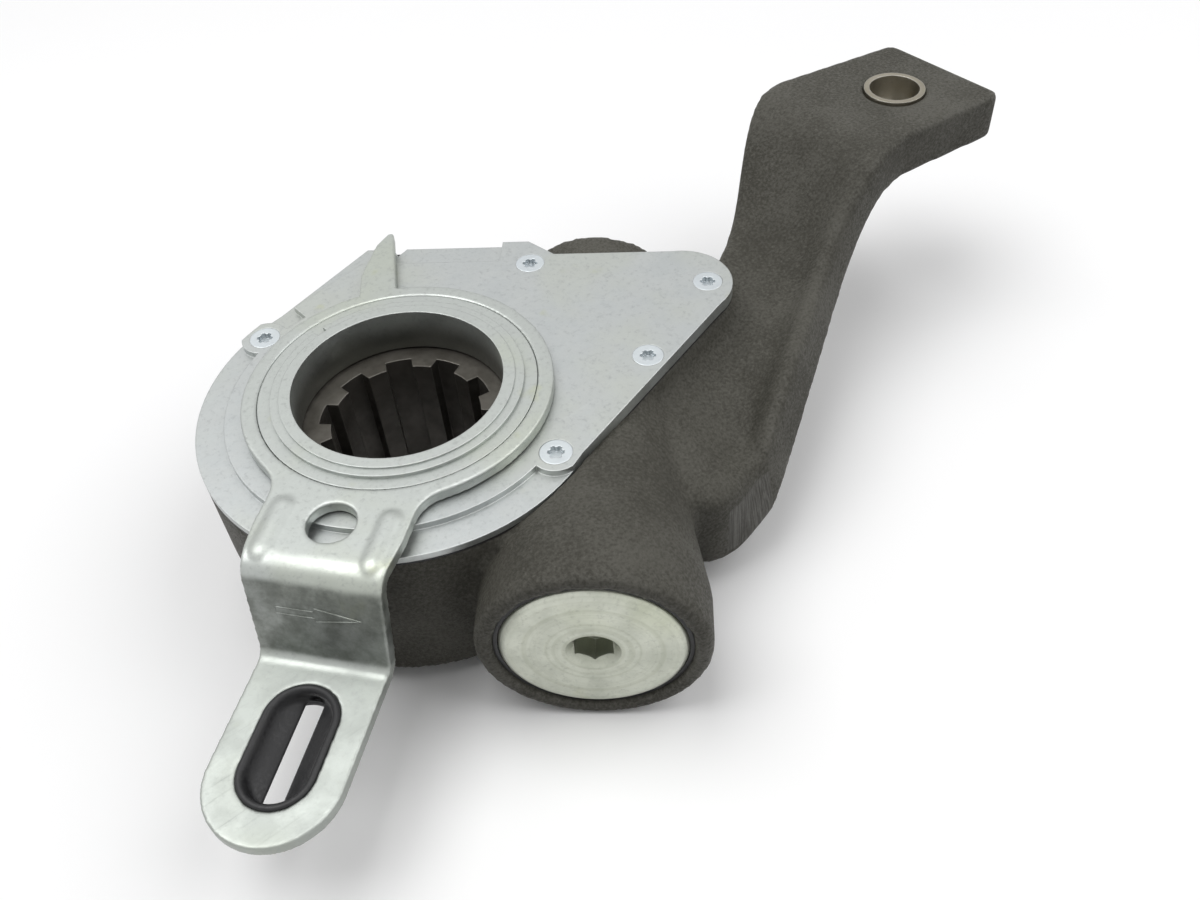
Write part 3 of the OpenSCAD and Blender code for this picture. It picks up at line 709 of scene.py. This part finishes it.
def riser_arrow():
    """A pressed direction arrow: a thin raised line, its outline in mm across and down the riser's face."""
    outline = [(-8, 5.3), (-0.2, 5.3), (-0.2, 4.4), (9.3, 6.1), (-0.2, 7.8), (-0.2, 6.9), (-8, 6.9)]
    line_radius = 0.16 * MM
    out_dir, across, up = control_axes()
    start = (RISER_START_OUT * out_dir + RISER_START_UP * up) * MM
    down = math.sin(RISER_LEAN) * out_dir - math.cos(RISER_LEAN) * up
    shape = fine_path(outline, step=0.4)
    path = start + MM * (shape[:, :1] * across + shape[:, 1:] * down)
    link("riser_arrow", tube_mesh("riser_arrow", path, line_radius), "control_unit", "arm_zinc")


def round_slot(half_length, half_width, count):
    """Points of a long round slot as (along, across): a half circle round each end, far one first."""
    turn = np.linspace(-0.5 * np.pi, 0.5 * np.pi, count)
    half = np.column_stack((half_length + half_width * np.cos(turn), half_width * np.sin(turn)))
    return np.concatenate((half, -half)) + (SLOT_MID, 0.0)


def slot_liner():
    """Soft liner of the anchor slot: a wall along the sheet's slot, and two lips sloping to a narrow slit.

    Each row of the profile is a round slot: half of the way between its end centres, half width and height.
    """
    wall_rim = [(5.25, 7.5, 1.5), (5.25, 7.3, 1.85), (5.25, 6.7, 1.9), (5.25, 6.2, 1.6)]
    lip_top = [(5.45, 5.8, 0.8), (6.25, 5.2, -0.2), (8.25, 3.6, -1.2), (9.85, 2.1, -1.9), (10.15, 1.8, -2.3)]
    lip_under = [(9.85, 2.1, -2.8), (8.25, 3.6, -2.5), (5.65, 5.6, -2.0)]
    wall_foot = [(5.25, 6.0, -3.5), (5.25, 6.3, -3.7), (5.25, 7.3, -3.7), (5.25, 7.5, -3.4)]
    out_dir, across, up = control_axes()
    rings = []
    for half_length, half_width, height in wall_rim + lip_top + lip_under + wall_foot:
        flat = round_slot(half_length, half_width, count=28)
        rings.append(MM * (flat[:, :1] * out_dir + flat[:, 1:] * across + height * up))
    obj = link("slot_liner", ring_loft("slot_liner", np.array(rings)), "control_unit", "seal_rubber")
    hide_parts("slot_insert")


forge_arm(bake(cast_skin("housing", "cast_body", "body_iron", "adjuster_body", voxel_mm=1.0, passes=5)))
cast_skin("control_arm", "pressed_arm", "arm_zinc", "control_unit", voxel_mm=0.36, passes=5)
riser_arrow()
slot_liner()


# Floor, light and camera

def seen_rays(tree):
    """1 for camera, mirror and see-through rays, 0 for those that carry soft light."""
    path = tree.nodes.new("ShaderNodeLightPath").outputs
    return maths(tree, "MAXIMUM", path["Is Camera Ray"],
                 maths(tree, "MAXIMUM", path["Is Glossy Ray"], path["Is Transmission Ray"]))


def floor(half, bounce):
    """A wide pale floor at the resting face: dimmer by bounce as a soft light, lit from itself far out."""
    paper_low, paper_high = (0.94, 0.94, 0.945), (0.955, 0.955, 0.955)
    glow_from, glow_full, glow = 0.4, 1.8, 0.55
    square = np.array([(-half, -half), (half, -half), (half, half), (-half, half)])
    mesh = bpy.data.meshes.new("floor")
    mesh.from_pydata(np.column_stack((square, np.full(4, BASE_Z))).tolist(), [], [(0, 1, 2, 3)])
    obj = bpy.data.objects.new("floor", mesh)
    bpy.context.scene.collection.objects.link(obj)
    mat, tree, shader, place_at = start_material("floor", metallic=0.0, roughness=0.8, specular=0.1)
    paper = blend_colour(tree, ramp(tree, noise(tree, place_at, scale=3.0), 0.3, 0.7), paper_low, paper_high)
    soft = blend_colour(tree, 1.0, paper, (bounce, bounce, bounce), "MULTIPLY")
    seen = seen_rays(tree)
    tree.links.new(blend_colour(tree, seen, soft, paper), shader.inputs["Base Color"])
    far = round_distance(tree, place_at, ORIGIN, UPRIGHT)
    shader.inputs["Emission Color"].default_value = (1.0, 1.0, 1.0, 1.0)
    far_glow = ramp(tree, far, glow_from, glow_full, 0.0, glow)
    tree.links.new(times(tree, seen, far_glow), shader.inputs["Emission Strength"])
    mesh.materials.append(mat)


def lamp(name, at, size, watts):
    """A square area lamp that looks at the part's middle."""
    data = bpy.data.lights.new(name, "AREA")
    data.energy = watts
    data.size = size
    obj = bpy.data.objects.new(name, data)
    obj.location = at
    obj.rotation_euler = (LAMPS_LOOK_AT - Vector(at)).to_track_quat("-Z", "Y").to_euler()
    bpy.context.scene.collection.objects.link(obj)


def daylight(strength):
    """Even white surroundings: dimmer as light than as the background that camera and mirror rays see."""
    world = bpy.data.worlds.new("studio")
    world.use_nodes = True
    tree = world.node_tree
    back = tree.nodes["Background"]
    back.inputs["Color"].default_value = (1.0, 1.0, 1.0, 1.0)
    tree.links.new(ramp(tree, seen_rays(tree), 0.0, 1.0, strength, 1.0), back.inputs["Strength"])
    bpy.context.scene.world = world


def camera():
    """The photograph's camera: azimuth and elevation give the direction behind it, and roll turns it."""
    back = Vector((math.sin(CAMERA_AZ) * math.cos(CAMERA_EL), -math.cos(CAMERA_AZ) * math.cos(CAMERA_EL),
                   math.sin(CAMERA_EL)))
    right = Vector((math.cos(CAMERA_AZ), math.sin(CAMERA_AZ), 0.0))
    up = back.cross(right)
    c, s = math.cos(CAMERA_ROLL), math.sin(CAMERA_ROLL)
    axes = Matrix((c * right + s * up, c * up - s * right, back)).transposed()
    data = bpy.data.cameras.new("photo_camera")
    data.sensor_width = SENSOR_MM
    data.lens = SENSOR_MM * FOCAL_PX / PHOTO_WIDTH
    data.clip_start = 10 * MM
    obj = bpy.data.objects.new("photo_camera", data)
    obj.matrix_world = Matrix.Translation(CAMERA_AT) @ axes.to_4x4()
    bpy.context.scene.collection.objects.link(obj)
    bpy.context.scene.camera = obj


floor(half=3.0, bounce=0.45)
lamp("key", at=(-0.25, 0.25, 1.1), size=0.9, watts=8.6)
lamp("fill", at=(0.6, -0.45, 0.9), size=0.9, watts=5.0)
daylight(strength=0.36)
camera()
bpy.context.scene.view_settings.view_transform = "Standard"
